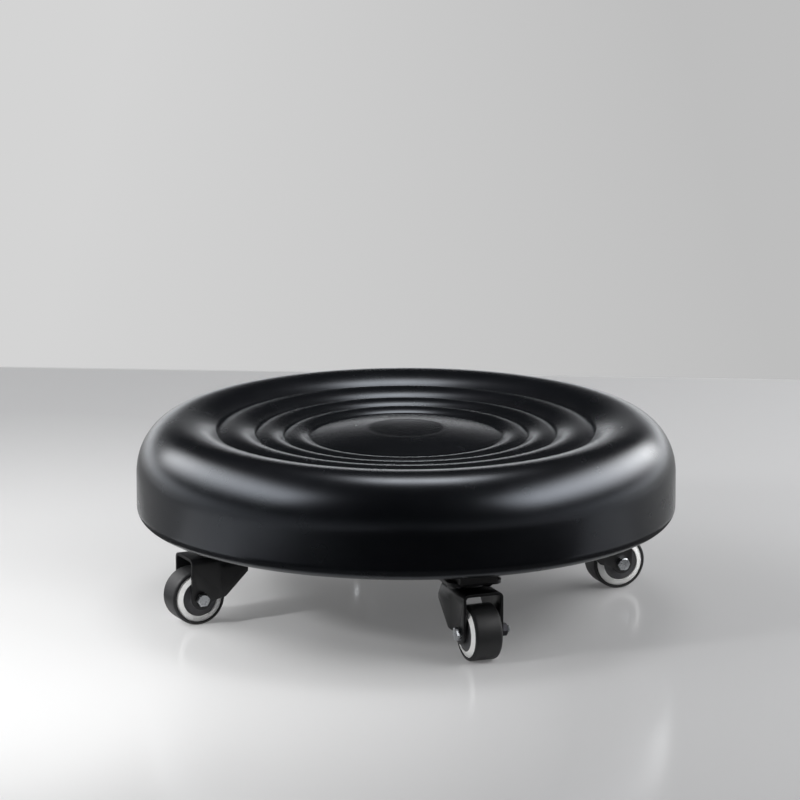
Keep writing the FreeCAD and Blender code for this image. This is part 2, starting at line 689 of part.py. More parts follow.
def check_and_write():
    doc.recompute()
    failed = [item.Name for item in doc.Objects if {"Invalid", "Error"} & set(item.State)]
    failed += [name for name, piece in nodes.items() if piece.Shape.isNull() or not piece.Shape.isValid()]
    failed += [name for name, piece in nodes.items() if not piece.Shape.Solids]
    if failed:
        raise RuntimeError(f"these did not build: {failed}")
    os.makedirs("parts", exist_ok=True)
    for name, piece in nodes.items():
        piece.Shape.exportStep(f"parts/{name}.step")
        print(name, len(piece.Shape.Solids), "solids", round(piece.Shape.Volume, 1), "mm3")


seat_cushion()
seat_board()
tee_nuts()
frame_bars()
bar_end_caps()
frame_bolts()
casters()
plate_screws()
check_and_write()
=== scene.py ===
import json
import math

import bmesh
import bpy
from mathutils import Matrix, Vector


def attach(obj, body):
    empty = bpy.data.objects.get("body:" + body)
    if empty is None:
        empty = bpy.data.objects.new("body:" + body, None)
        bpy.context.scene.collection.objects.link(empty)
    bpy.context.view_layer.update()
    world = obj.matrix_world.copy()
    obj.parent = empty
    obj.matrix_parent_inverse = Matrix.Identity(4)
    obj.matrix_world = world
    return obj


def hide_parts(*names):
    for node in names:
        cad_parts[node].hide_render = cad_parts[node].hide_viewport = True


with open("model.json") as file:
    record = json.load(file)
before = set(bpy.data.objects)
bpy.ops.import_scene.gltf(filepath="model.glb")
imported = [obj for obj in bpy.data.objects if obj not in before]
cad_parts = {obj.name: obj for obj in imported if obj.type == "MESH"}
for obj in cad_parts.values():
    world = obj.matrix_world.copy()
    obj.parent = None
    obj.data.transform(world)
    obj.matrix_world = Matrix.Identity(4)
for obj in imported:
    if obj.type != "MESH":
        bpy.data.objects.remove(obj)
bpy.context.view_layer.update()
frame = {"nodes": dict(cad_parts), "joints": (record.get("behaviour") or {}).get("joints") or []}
nodes = frame["nodes"]
joints = {joint["name"]: joint for joint in frame["joints"]}
scene = bpy.context.scene
MM = 0.001
SIDES = ("right", "rear", "left", "front")

# Seat pad, in millimetres and degrees
SEAT_RADIUS = 185
SEAT_BOTTOM = 62.9
SEAT_TOP = 130.9
SEAT_EDGE = 9
CROWN_WIDTH = 31
CROWN_HEIGHT = 36
CROWN_REACH = 24
LIP_REACH = 7.5
LIP_DROP = 0.55
LIP_CURVE = 33
GROOVE_DEPTHS = (8, 10.2, 11.7, 12.4)
RING_WIDTHS = (26.5, 19.5, 17.5)
RING_RISES = (4.3, 3.3, 2.8)
DOME_RISE = 5.6
DOME_CURVE = 330
BUTTON_RADIUS = 26
BUTTON_RISE = 0.4
BUTTON_GROOVE = 0.02
BUTTON_GROOVE_HALF = 1
BUTTON_FADE = 2
BUTTON_POLISH = 0.56
BOARD_TOP = 74.9
RECESS_RADIUS = 150.3
SKIN_STEP = 0.8
SKIN_FACETS = 160
SKIN_SHARP = 50

# Casters, in millimetres
WHEEL_FACETS = 96
WHEEL_RADIUS = 19
RIM_RADIUS = 16.8
RIM_WELL = 12.4
RIM_FACE = 11.2
RIM_BEVEL = 2.3
CORE_ROUNDING = 0.4
TYRE_GAP = 0.02
TYRE_HALF = 9.7
TYRE_SHOULDER = 2.0
WEB_HALF = 2.5
HUB_RADIUS = 7.6
HUB_BORE = 3.65
HUB_FACE = 9.2
BUSH_SEAT = 5.63
BUSH_STOP = 4.7
COVER_FACE = 10.4
COVER_EDGE = 12.38
BOSS_RADIUS = 6.2
BOSS_HEIGHT = 1.0
COVER_ROUNDING = 0.35
FORK_INNER = 12.3
FORK_OUTER = 14.3
FORK_EDGE = 0.35
CHEEK_SLACK = 0.05
CREASE_FROM = -8.5
CREASE_TO = -4.8
CREASE_STEP = 1.5
CREASE_FADE = (39, 44)
AXLE_RADIUS = 2.5
AXLE_FLATS = 8
AXLE_HEAD = 3.5
AXLE_TIP = 21.3
AXLE_CHAMFER = 0.4
NUT_HEIGHT = 5
NUT_GAP = 0.05
THREAD_PITCH = 0.8
THREAD_DEPTH = 0.35
HEAD_FAR_SIDES = ("right", "front")

# Frame and fasteners, in millimetres and degrees
ARM_ANGLE = 18
SWIVEL_RADIUS = 133
BOLT_REACHES = (43.5, 90)
PLATE_BOTTOM = 50.4
PLATE_TOP = 52.9
PLATE_EDGE = 0.3
BAR_EDGE = 0.7
CAP_EDGE = 0.6
SCREW_ALONG = 13.5
SCREW_ACROSS = 9.0
SCREW_RADIUS = 2.4
SCREW_HEAD_RADIUS = 3.9
SCREW_HEAD = 2.0
SCREW_TIP = 57.4
SCREW_SHARP = 30
CROSS_REACH = 2.2
CROSS_HALF = 0.5
CROSS_DEPTH = 1.1
BOLT_FLATS = 10
BOLT_HEAD = 4
BOLT_RADIUS = 3
BOLT_TIP = 71.9
BOLT_CHAMFER = 0.5
BOLT_SHARP = 25
HEAD_OVERLAP = 1
ROD_FACETS = 32
HEX_FACETS = 60
CHAMFER_SHARE = 0.94
CHAMFER_ANGLE = 30
WELD = 0.001
FLAT_ANGLE = 0.5
ROUNDING_LIMIT = 0.4

# Pan head: shares of its radius and of its height, from the middle of its face to the plate
PAN_SHARES = ((0, 0), (0.62, 0), (0.9, 0.25), (1, 0.6), (1, 1))

# Floor and backdrop, in metres
FLOOR_HALF = 6
# Painted pool of light at the left: the floor colour grows paler towards it and white glows in it
PAINTED_POOL_CENTRE = (-0.29, -0.22, 0)
PAINTED_POOL_REACH = (0.25, 0.5, 1)
PAINTED_POOL_FADE = (0.4, 0.85)
PAINTED_POOL_TONE_FADE = (0.3, 1.6)
PAINTED_POOL_GLOW = 0.45
# Painted glow over the whole floor, which lightens the object's shadow
PAINTED_SHADOW_LIFT = 0.18
BACK_LINE = 0.711
BACK_LINE_WIDTH = 0.005
BACK_LINE_SLOPE = 0.0724
# Painted light fall-off across the backdrop paper, paler at the left than at the right
PAPER_HALF = 0.3
BACKDROP_FROM = 1.1
BACKDROP_FULL = 2.2
# Painted reflections: cards unseen by the camera, which the pad mirrors, darkening its front, sides and lower
# edge
FRONT_REFLECTION_CARD = (-0.35, -5.5, 0.6, -0.19)
LEFT_REFLECTION_CARD = (-0.9, 0, -0.3, 0.9)
RIGHT_REFLECTION_CARD = (0.3, 0, 0.9, 0.9)
RING_REFLECTION_CARD = (0.195, 0.3)
RING_CARD_FACETS = 64
CARD_HEIGHT = 0.001
RING_CARD_HEIGHT = 0.0015

# Softboxes, in metres: name, the middle of each end, width and radiance
SOFTBOXES = (
    ("softbox_left", (-0.90, -1.04, 0.99), (-1.20, 1.5, 0.66), 1.0, 6.0),
    ("softbox_right", (0.90, -1.1, 0.83), (1.07, 1.8, 0.55), 0.92, 7.4),
    ("softbox_over", (-0.3, 0.45, 1.75), (0.48, 0.45, 1.75), 1.0, 8.5),
)
SOFTBOX_AIM = (0, 0, 0.08)
SOFTBOX_END_FADE = 0.2

# Pale strip of the studio, as parts of the unit direction upwards and backwards
STRIP_FADE = (0.1, 0.175)
STRIP_TURN = (-0.9, 1)
STRIP_FRONT_SHARE = 0.1
STUDIO_STRENGTH = 2.3

# Pool lamp and camera, in metres, watts, degrees and, for the lens, millimetres
POOL_LAMP_PLACE = (-1.2, -0.8, 0.78)
POOL_LAMP_AIM = (-0.29, -0.04, 0)
POOL_LAMP_POWER = 60
POOL_LAMP_ANGLE = 38
POOL_LAMP_RADIUS = 0.1
CAMERA_PLACE = (-0.0042, -4.0, 1.0723)
CAMERA_TILT = 76.93
CAMERA_LENS = 269.88
CAMERA_SENSOR = 36
CAMERA_FAR = 100


# Materials
def linear(hex_colour):
    channels = [int(hex_colour[at:at + 2], 16) / 255 for at in (1, 3, 5)]
    return tuple(c / 12.92 if c <= 0.04045 else ((c + 0.055) / 1.055) ** 2.4 for c in channels) + (1.0,)


def add_node(tree, kind, inputs=None, **settings):
    made = tree.nodes.new(kind)
    for key, value in settings.items():
        setattr(made, key, value)
    for key, value in (inputs or {}).items():
        if isinstance(value, bpy.types.NodeSocket):
            tree.links.new(value, made.inputs[key])
        else:
            made.inputs[key].default_value = value
    return made


def new_finish(name):
    finish = bpy.data.materials.new(name)
    finish.use_nodes = True
    tree = finish.node_tree
    tree.nodes.clear()
    return finish, tree, add_node(tree, "ShaderNodeTexCoord").outputs["Object"]


# Integral-skin polyurethane foam, moulded in a polished tool: near black and evenly satin over a faint fine
# grain, which is drawn at 2.4 mm, about eight times its real size, so that it shows. The button comes from a
# plug in the tool that is polished further, so it is glossier
def polyurethane_skin():
    finish, tree, place = new_finish("moulded_polyurethane_skin")
    cloud = add_node(tree, "ShaderNodeTexNoise", {"Vector": place, "Scale": 1 / (40 * MM), "Detail": 3})
    colour = add_node(tree, "ShaderNodeMix", {
        0: cloud.outputs["Fac"], 6: linear("#030405"), 7: linear("#0b0c0f")}, data_type="RGBA")
    patches = add_node(tree, "ShaderNodeTexNoise", {"Vector": place, "Scale": 1 / (18 * MM), "Detail": 4})
    satin = add_node(tree, "ShaderNodeMapRange", {
        "Value": patches.outputs["Fac"], "To Min": 0.22, "To Max": 0.3})
    flat = add_node(tree, "ShaderNodeVectorMath", {0: place, 1: (1, 1, 0)}, operation="MULTIPLY")
    reach = add_node(tree, "ShaderNodeVectorMath", {0: flat.outputs["Vector"]}, operation="LENGTH")
    polish = add_node(tree, "ShaderNodeMapRange", {
        "Value": reach.outputs["Value"], "From Min": (BUTTON_RADIUS - BUTTON_FADE) * MM,
        "From Max": (BUTTON_RADIUS + BUTTON_FADE) * MM, "To Min": BUTTON_POLISH, "To Max": 1},
        interpolation_type="SMOOTHSTEP")
    gloss = add_node(tree, "ShaderNodeMath", {
        0: satin.outputs["Result"], 1: polish.outputs["Result"]}, operation="MULTIPLY")
    grain = add_node(tree, "ShaderNodeTexNoise", {"Vector": place, "Scale": 1 / (2.4 * MM), "Detail": 2})
    bump = add_node(tree, "ShaderNodeBump", {"Height": grain.outputs["Fac"], "Distance": 0.011 * MM})
    shader = add_node(tree, "ShaderNodeBsdfPrincipled", {
        "Base Color": colour.outputs[2], "Roughness": gloss.outputs[0], "IOR": 1.57,
        "Specular Tint": linear("#e6eefa"), "Normal": bump.outputs["Normal"]})
    add_node(tree, "ShaderNodeOutputMaterial", {"Surface": shader.outputs["BSDF"]})
    return finish


# Powder-coated steel tube: a thick black film with soft orange peel
def powder_coat():
    finish, tree, place = new_finish("powder_coated_steel")
    cloud = add_node(tree, "ShaderNodeTexNoise", {"Vector": place, "Scale": 1 / (9 * MM), "Detail": 3})
    colour = add_node(tree, "ShaderNodeMix", {
        0: cloud.outputs["Fac"], 6: linear("#0c0c0d"), 7: linear("#1c1c1e")}, data_type="RGBA")
    gloss = add_node(tree, "ShaderNodeMapRange", {
        "Value": cloud.outputs["Fac"], "To Min": 0.38, "To Max": 0.56})
    peel = add_node(tree, "ShaderNodeTexNoise", {"Vector": place, "Scale": 1 / (1.4 * MM), "Detail": 1})
    bump = add_node(tree, "ShaderNodeBump", {"Height": peel.outputs["Fac"], "Distance": 0.03 * MM})
    shader = add_node(tree, "ShaderNodeBsdfPrincipled", {
        "Base Color": colour.outputs[2], "Roughness": gloss.outputs["Result"], "IOR": 1.5,
        "Normal": bump.outputs["Normal"]})
    add_node(tree, "ShaderNodeOutputMaterial", {"Surface": shader.outputs["BSDF"]})
    return finish


# Electro-coated pressed steel: a thin, hard, smooth black film that shows the pressing's faint waviness
def electro_coat():
    finish, tree, place = new_finish("electro_coated_steel")
    cloud = add_node(tree, "ShaderNodeTexNoise", {"Vector": place, "Scale": 1 / (6 * MM), "Detail": 4})
    colour = add_node(tree, "ShaderNodeMix", {
        0: cloud.outputs["Fac"], 6: linear("#0a0a0b"), 7: linear("#1a1a1c")}, data_type="RGBA")
    gloss = add_node(tree, "ShaderNodeMapRange", {
        "Value": cloud.outputs["Fac"], "To Min": 0.24, "To Max": 0.44})
    wave = add_node(tree, "ShaderNodeTexNoise", {"Vector": place, "Scale": 1 / (5 * MM), "Detail": 2})
    bump = add_node(tree, "ShaderNodeBump", {"Height": wave.outputs["Fac"], "Distance": 0.05 * MM})
    shader = add_node(tree, "ShaderNodeBsdfPrincipled", {
        "Base Color": colour.outputs[2], "Roughness": gloss.outputs["Result"], "IOR": 1.5,
        "Normal": bump.outputs["Normal"]})
    add_node(tree, "ShaderNodeOutputMaterial", {"Surface": shader.outputs["BSDF"]})
    return finish


# Bright zinc plate on steel: a cool white metal with a cloudy gloss
def zinc_plate():
    finish, tree, place = new_finish("bright_zinc_plate")
    cloud = add_node(tree, "ShaderNodeTexNoise", {"Vector": place, "Scale": 1 / (2.5 * MM), "Detail": 4})
    colour = add_node(tree, "ShaderNodeMix", {
        0: cloud.outputs["Fac"], 6: linear("#a8acb1"), 7: linear("#d6d8da")}, data_type="RGBA")
    gloss = add_node(tree, "ShaderNodeMapRange", {
        "Value": cloud.outputs["Fac"], "To Min": 0.16, "To Max": 0.42})
    shader = add_node(tree, "ShaderNodeBsdfPrincipled", {
        "Base Color": colour.outputs[2], "Roughness": gloss.outputs["Result"], "Metallic": 1.0})
    add_node(tree, "ShaderNodeOutputMaterial", {"Surface": shader.outputs["BSDF"]})
    return finish


# Black zinc on steel: dark grey metal, dull in patches
def black_zinc():
    finish, tree, place = new_finish("black_zinc_steel")
    cloud = add_node(tree, "ShaderNodeTexNoise", {"Vector": place, "Scale": 1 / (2 * MM), "Detail": 4})
    colour = add_node(tree, "ShaderNodeMix", {
        0: cloud.outputs["Fac"], 6: linear("#1e1e20"), 7: linear("#3a3a3e")}, data_type="RGBA")
    gloss = add_node(tree, "ShaderNodeMapRange", {
        "Value": cloud.outputs["Fac"], "To Min": 0.24, "To Max": 0.5})
    shader = add_node(tree, "ShaderNodeBsdfPrincipled", {
        "Base Color": colour.outputs[2], "Roughness": gloss.outputs["Result"], "Metallic": 1.0})
    add_node(tree, "ShaderNodeOutputMaterial", {"Surface": shader.outputs["BSDF"]})
    return finish


# Thermoplastic rubber, moulded: dark grey and nearly matt, a little paler in patches where it has rolled.
# Its grit is drawn at 0.35 mm, about twice its real size, so that it shows
def tyre_rubber():
    finish, tree, place = new_finish("thermoplastic_rubber")
    bloom = add_node(tree, "ShaderNodeTexNoise", {"Vector": place, "Scale": 1 / (5 * MM), "Detail": 4})
    colour = add_node(tree, "ShaderNodeMix", {
        0: bloom.outputs["Fac"], 6: linear("#0f0f10"), 7: linear("#222224")}, data_type="RGBA")
    gloss = add_node(tree, "ShaderNodeMapRange", {
        "Value": bloom.outputs["Fac"], "To Min": 0.42, "To Max": 0.66})
    grit = add_node(tree, "ShaderNodeTexNoise", {"Vector": place, "Scale": 1 / (0.35 * MM), "Detail": 2})
    bump = add_node(tree, "ShaderNodeBump", {"Height": grit.outputs["Fac"], "Distance": 0.02 * MM})
    shader = add_node(tree, "ShaderNodeBsdfPrincipled", {
        "Base Color": colour.outputs[2], "Roughness": gloss.outputs["Result"], "IOR": 1.5,
        "Normal": bump.outputs["Normal"]})
    add_node(tree, "ShaderNodeOutputMaterial", {"Surface": shader.outputs["BSDF"]})
    return finish


# Polypropylene, moulded: milky white with a waxy gloss and faint flow marks
def polypropylene():
    finish, tree, place = new_finish("white_polypropylene")
    flow = add_node(tree, "ShaderNodeTexNoise", {"Vector": place, "Scale": 1 / (4 * MM), "Detail": 3})
    colour = add_node(tree, "ShaderNodeMix", {
        0: flow.outputs["Fac"], 6: linear("#e6e6e4"), 7: linear("#f8f8f7")}, data_type="RGBA")
    gloss = add_node(tree, "ShaderNodeMapRange", {
        "Value": flow.outputs["Fac"], "To Min": 0.32, "To Max": 0.5})
    shader = add_node(tree, "ShaderNodeBsdfPrincipled", {
        "Base Color": colour.outputs[2], "Roughness": gloss.outputs["Result"], "IOR": 1.49})
    add_node(tree, "ShaderNodeOutputMaterial", {"Surface": shader.outputs["BSDF"]})
    return finish


# Acrylonitrile butadiene styrene, moulded with a fine spark texture: dark grey and satin
def abs_cover():
    finish, tree, place = new_finish("dark_abs")
    cloud = add_node(tree, "ShaderNodeTexNoise", {"Vector": place, "Scale": 1 / (3 * MM), "Detail": 3})
    colour = add_node(tree, "ShaderNodeMix", {
        0: cloud.outputs["Fac"], 6: linear("#363638"), 7: linear("#505053")}, data_type="RGBA")
    gloss = add_node(tree, "ShaderNodeMapRange", {
        "Value": cloud.outputs["Fac"], "To Min": 0.36, "To Max": 0.56})
    spark = add_node(tree, "ShaderNodeTexNoise", {"Vector": place, "Scale": 1 / (0.3 * MM), "Detail": 1})
    bump = add_node(tree, "ShaderNodeBump", {"Height": spark.outputs["Fac"], "Distance": 0.012 * MM})
    shader = add_node(tree, "ShaderNodeBsdfPrincipled", {
        "Base Color": colour.outputs[2], "Roughness": gloss.outputs["Result"], "IOR": 1.53,
        "Normal": bump.outputs["Normal"]})
    add_node(tree, "ShaderNodeOutputMaterial", {"Surface": shader.outputs["BSDF"]})
    return finish


# Low-density polyethylene end caps: black, soft and slightly waxy
def polyethylene():
    finish, tree, place = new_finish("black_polyethylene")
    cloud = add_node(tree, "ShaderNodeTexNoise", {"Vector": place, "Scale": 1 / (4 * MM), "Detail": 3})
    colour = add_node(tree, "ShaderNodeMix", {
        0: cloud.outputs["Fac"], 6: linear("#0e0e0f"), 7: linear("#1f1f21")}, data_type="RGBA")
    gloss = add_node(tree, "ShaderNodeMapRange", {
        "Value": cloud.outputs["Fac"], "To Min": 0.44, "To Max": 0.64})
    shader = add_node(tree, "ShaderNodeBsdfPrincipled", {
        "Base Color": colour.outputs[2], "Roughness": gloss.outputs["Result"], "IOR": 1.51})
    add_node(tree, "ShaderNodeOutputMaterial", {"Surface": shader.outputs["BSDF"]})
    return finish


# Birch plywood, rotary cut, sanded and stained black: long wandering grain just shows through the stain
def birch_plywood():
    finish, tree, place = new_finish("black_stained_birch_plywood")
    drawn = add_node(tree, "ShaderNodeMapping", {
        "Vector": place, "Rotation": (0, 0, math.radians(ARM_ANGLE)), "Scale": (1, 14, 1)})
    grain = add_node(tree, "ShaderNodeTexNoise", {
        "Vector": drawn.outputs["Vector"], "Scale": 1 / (60 * MM), "Detail": 6})
    colour = add_node(tree, "ShaderNodeMix", {
        0: grain.outputs["Fac"], 6: linear("#131211"), 7: linear("#322e2b")}, data_type="RGBA")
    gloss = add_node(tree, "ShaderNodeMapRange", {
        "Value": grain.outputs["Fac"], "To Min": 0.48, "To Max": 0.76})
    bump = add_node(tree, "ShaderNodeBump", {"Height": grain.outputs["Fac"], "Distance": 0.2 * MM})
    shader = add_node(tree, "ShaderNodeBsdfPrincipled", {
        "Base Color": colour.outputs[2], "Roughness": gloss.outputs["Result"], "IOR": 1.5,
        "Normal": bump.outputs["Normal"]})
    add_node(tree, "ShaderNodeOutputMaterial", {"Surface": shader.outputs["BSDF"]})
    return finish


# Hardened chrome steel balls: ground and polished under a film of grease
def chrome_steel():
    finish, tree, place = new_finish("chrome_steel")
    film = add_node(tree, "ShaderNodeTexNoise", {"Vector": place, "Scale": 1 / MM, "Detail": 2})
    colour = add_node(tree, "ShaderNodeMix", {
        0: film.outputs["Fac"], 6: linear("#bdbfc2"), 7: linear("#d8d9db")}, data_type="RGBA")
    gloss = add_node(tree, "ShaderNodeMapRange", {
        "Value": film.outputs["Fac"], "To Min": 0.06, "To Max": 0.24})
    shader = add_node(tree, "ShaderNodeBsdfPrincipled", {
        "Base Color": colour.outputs[2], "Roughness": gloss.outputs["Result"], "Metallic": 1.0})
    add_node(tree, "ShaderNodeOutputMaterial", {"Surface": shader.outputs["BSDF"]})
    return finish


# Acetal bushes: dense ivory plastic with a turned satin face
def acetal():
    finish, tree, place = new_finish("ivory_acetal")
    cloud = add_node(tree, "ShaderNodeTexNoise", {"Vector": place, "Scale": 1 / (2 * MM), "Detail": 2})
    colour = add_node(tree, "ShaderNodeMix", {
        0: cloud.outputs["Fac"], 6: linear("#d6d2c5"), 7: linear("#eeebe2")}, data_type="RGBA")
    gloss = add_node(tree, "ShaderNodeMapRange", {
        "Value": cloud.outputs["Fac"], "To Min": 0.26, "To Max": 0.46})
    shader = add_node(tree, "ShaderNodeBsdfPrincipled", {
        "Base Color": colour.outputs[2], "Roughness": gloss.outputs["Result"], "IOR": 1.48})
    add_node(tree, "ShaderNodeOutputMaterial", {"Surface": shader.outputs["BSDF"]})
    return finish


FINISHES = {
    "seat_skin": polyurethane_skin(),
    "plywood": birch_plywood(),
    "zinc_steel": zinc_plate(),
    "black_frame_paint": powder_coat(),
    "black_cap_plastic": polyethylene(),
    "black_screw_steel": black_zinc(),
    "black_caster_paint": electro_coat(),
    "ball_steel": chrome_steel(),
    "tyre_rubber": tyre_rubber(),
    "pale_core_plastic": polypropylene(),
    "dark_cover_plastic": abs_cover(),
    "bush_plastic": acetal(),
}


# Outlines, in millimetres from the axis and along it
def quarter_oval(middle, width, height, start, steps):
    turns = [math.radians(start + 90 * count / steps) for count in range(steps + 1)]
    return [Vector(middle) + Vector((width * math.cos(turn), height * math.sin(turn))) for turn in turns]


# Radius of an arc that is level at its top and comes down by drop over reach
def level_arc(reach, drop):
    return (reach ** 2 + drop ** 2) / (2 * drop)


# Arc from start to stop that bulges upwards
def arched(start, stop, radius, steps=40):
    start, stop = Vector(start), Vector(stop)
    chord = stop - start
    side = Vector((chord.y, -chord.x)).normalized()
    if side.y > 0:
        side = -side
    centre = (start + stop) / 2 + side * math.sqrt(max(radius ** 2 - chord.length_squared / 4, 0))
    first, last = start - centre, stop - centre
    sweep = first.angle_signed(last)
    turns = [Matrix.Rotation(-sweep * count / steps, 2) for count in range(steps + 1)]
    return [centre + turn @ first for turn in turns]


def both_halves(half):
    return half + [(reach, -height) for reach, height in reversed(half)]


def even_steps(points, step):
    lengths = [0]
    for before, after in zip(points, points[1:]):
        lengths.append(lengths[-1] + (after - before).length)
    count = round(lengths[-1] / step)
    evened, at = [], 0
    for index in range(count + 1):
        wanted = lengths[-1] * index / count
        while at < len(points) - 2 and lengths[at + 1] < wanted:
            at += 1
        span = lengths[at + 1] - lengths[at]
        evened.append(points[at].lerp(points[at + 1], (wanted - lengths[at]) / span if span else 0))
    return evened


def softened(points):
    trios = zip(points, points[1:], points[2:])
    inner = [(before + 2 * here + after) / 4 for before, here, after in trios]
    return [points[0]] + inner + [points[-1]]


def rounded(corners, radius, steps=4):
    points = []
    for index, corner in enumerate(corners):
        here = Vector(corner)
        before = Vector(corners[index - 1]) - here
        after = Vector(corners[(index + 1) % len(corners)]) - here
        cut = min(radius, ROUNDING_LIMIT * before.length, ROUNDING_LIMIT * after.length)
        start, stop = here + before.normalized() * cut, here + after.normalized() * cut
        for count in range(steps + 1):
            part = count / steps
            points.append(start.lerp(here, part).lerp(here.lerp(stop, part), part))
    return points


# Geometry Nodes
def new_tree(name, **inputs):
    tree = bpy.data.node_groups.new(name, "GeometryNodeTree")
    for label, kind in inputs.items():
        tree.interface.new_socket(label, in_out="INPUT", socket_type=f"NodeSocket{kind}")
    tree.interface.new_socket("Geometry", in_out="OUTPUT", socket_type="NodeSocketGeometry")
    return tree, add_node(tree, "NodeGroupInput").outputs


# An outline turned about the vertical axis
def turning_tree():
    tree, given = new_tree("turned_piece", Outline="Object", Facets="Int", Finish="Material")
    outline = add_node(tree, "GeometryNodeObjectInfo", {"Object": given["Outline"]})
    path = add_node(tree, "GeometryNodeCurvePrimitiveCircle", {"Resolution": given["Facets"], "Radius": 1.0})
    shell = add_node(tree, "GeometryNodeCurveToMesh", {
        "Curve": path.outputs["Curve"], "Profile Curve": outline.outputs["Geometry"]})
    closed = add_node(tree, "GeometryNodeMergeByDistance", {
        "Geometry": shell.outputs["Mesh"], "Distance": 2 * WELD * MM})
    real = add_node(tree, "GeometryNodeRealizeInstances", {"Geometry": closed.outputs["Geometry"]})
    finished = add_node(tree, "GeometryNodeSetMaterial", {
        "Geometry": real.outputs["Geometry"], "Material": given["Finish"]})
    add_node(tree, "NodeGroupOutput", {"Geometry": finished.outputs["Geometry"]})
    return tree


# One fastener at each of a set of places
def fastening_tree():
    tree, given = new_tree("fasteners_in_place", Places="Object", Fastener="Object", Finish="Material")
    places = add_node(tree, "GeometryNodeObjectInfo", {"Object": given["Places"]})
    one = add_node(tree, "GeometryNodeObjectInfo", {"Object": given["Fastener"], "As Instance": True})
    spread = add_node(tree, "GeometryNodeInstanceOnPoints", {
        "Points": places.outputs["Geometry"], "Instance": one.outputs["Geometry"]})
    real = add_node(tree, "GeometryNodeRealizeInstances", {"Geometry": spread.outputs["Instances"]})
    finished = add_node(tree, "GeometryNodeSetMaterial", {
        "Geometry": real.outputs["Geometry"], "Material": given["Finish"]})
    add_node(tree, "NodeGroupOutput", {"Geometry": finished.outputs["Geometry"]})
    return tree


TURNING = turning_tree()
FASTENING = fastening_tree()


def new_object(name, data):
    made = bpy.data.objects.new(name, data)
    scene.collection.objects.link(made)
    return made


def plain_mesh(made):
    bpy.context.view_layer.update()
    evaluated = made.evaluated_get(bpy.context.evaluated_depsgraph_get())
    return bpy.data.meshes.new_from_object(evaluated)


def from_tree(tree, **inputs):
    holder = new_object(f"{tree.name}_holder", bpy.data.meshes.new(tree.name))
    modifier = holder.modifiers.new(tree.name, "NODES")
    modifier.node_group = tree
    for socket in tree.interface.items_tree:
        if socket.in_out == "INPUT":
            modifier[socket.identifier] = inputs[socket.name]
    mesh = plain_mesh(holder)
    bpy.data.objects.remove(holder)
    return mesh


def outwards(mesh, sharp):
    shape = bmesh.new()
    shape.from_mesh(mesh)
    bmesh.ops.recalc_face_normals(shape, faces=shape.faces)
    shape.to_mesh(mesh)
    shape.free()
    mesh.shade_smooth()
    mesh.set_sharp_from_angle(angle=math.radians(sharp))
    return mesh


# The path that outlines are turned along is 1 m in radius, so they are drawn from there, with y downwards
def turned(points, slot, facets, closed=True, sharp=40):
    curve = bpy.data.curves.new("outline", "CURVE")
    curve.dimensions = "3D"
    spline = curve.splines.new("POLY")
    spline.points.add(len(points) - 1)
    for point, (reach, height) in zip(spline.points, points):
        point.co = (reach * MM - 1, -height * MM, 0, 1)
    spline.use_cyclic_u = closed
    drawn = new_object("outline", curve)
    mesh = from_tree(TURNING, Outline=drawn, Facets=facets, Finish=FINISHES[slot])
    bpy.data.objects.remove(drawn)
    return outwards(mesh, sharp)


def fitted(name, mesh, body, slot, *replaced):
    piece = new_object(name, mesh)
    if not mesh.materials:
        mesh.materials.append(FINISHES[slot])
    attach(piece, body)
    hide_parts(*replaced)
    return piece


# Seat pad: one seamless moulding, a high crown that steps down over three rings to a low dome
def seat_pad():
    apex = SEAT_RADIUS - CROWN_WIDTH
    reaches = [apex - CROWN_REACH]
    for width in RING_WIDTHS:
        reaches.append(reaches[-1] - width)
    grooves = [Vector((reach, SEAT_TOP - depth)) for reach, depth in zip(reaches, GROOVE_DEPTHS)]
    skin = quarter_oval((SEAT_RADIUS - SEAT_EDGE, SEAT_BOTTOM + SEAT_EDGE), SEAT_EDGE, SEAT_EDGE, -90, 24)
    skin += quarter_oval((apex, SEAT_TOP - CROWN_HEIGHT), CROWN_WIDTH, CROWN_HEIGHT, 0, 24)
    lip = Vector((apex - LIP_REACH, SEAT_TOP - LIP_DROP))
    skin += arched((apex, SEAT_TOP), lip, level_arc(LIP_REACH, LIP_DROP))
    skin += arched(lip, grooves[0], LIP_CURVE)
    for outer, inner, rise in zip(grooves, grooves[1:], RING_RISES):
        skin += arched(outer, inner, level_arc((outer - inner).length / 2, rise))
    rim = Vector((BUTTON_RADIUS + BUTTON_GROOVE_HALF, grooves[-1].y + DOME_RISE))
    skin += arched(grooves[-1], rim, DOME_CURVE)
    skin.append(Vector((BUTTON_RADIUS, rim.y - BUTTON_GROOVE)))
    reach = BUTTON_RADIUS - BUTTON_GROOVE_HALF
    skin += arched((reach, rim.y), (0, rim.y + BUTTON_RISE), level_arc(reach, BUTTON_RISE))
    skin = softened(even_steps(skin, SKIN_STEP))
    recess = [(0, BOARD_TOP), (RECESS_RADIUS, BOARD_TOP), (RECESS_RADIUS, SEAT_BOTTOM)]
    mesh = turned(recess + skin, "seat_skin", SKIN_FACETS, closed=False, sharp=SKIN_SHARP)
    pad = fitted("seat_pad", mesh, "seat", "seat_skin", "seat_cushion")


# Wheels: tyre, core and hub covers are turned about the axle, then stood in their forks
def tyre_outline():
    shoulder = (WHEEL_RADIUS - TYRE_SHOULDER, TYRE_SHOULDER - TYRE_HALF)
    lower = [Vector((RIM_RADIUS, -TYRE_HALF))] + quarter_oval(shoulder, TYRE_SHOULDER, TYRE_SHOULDER, -90, 8)
    return both_halves(lower)


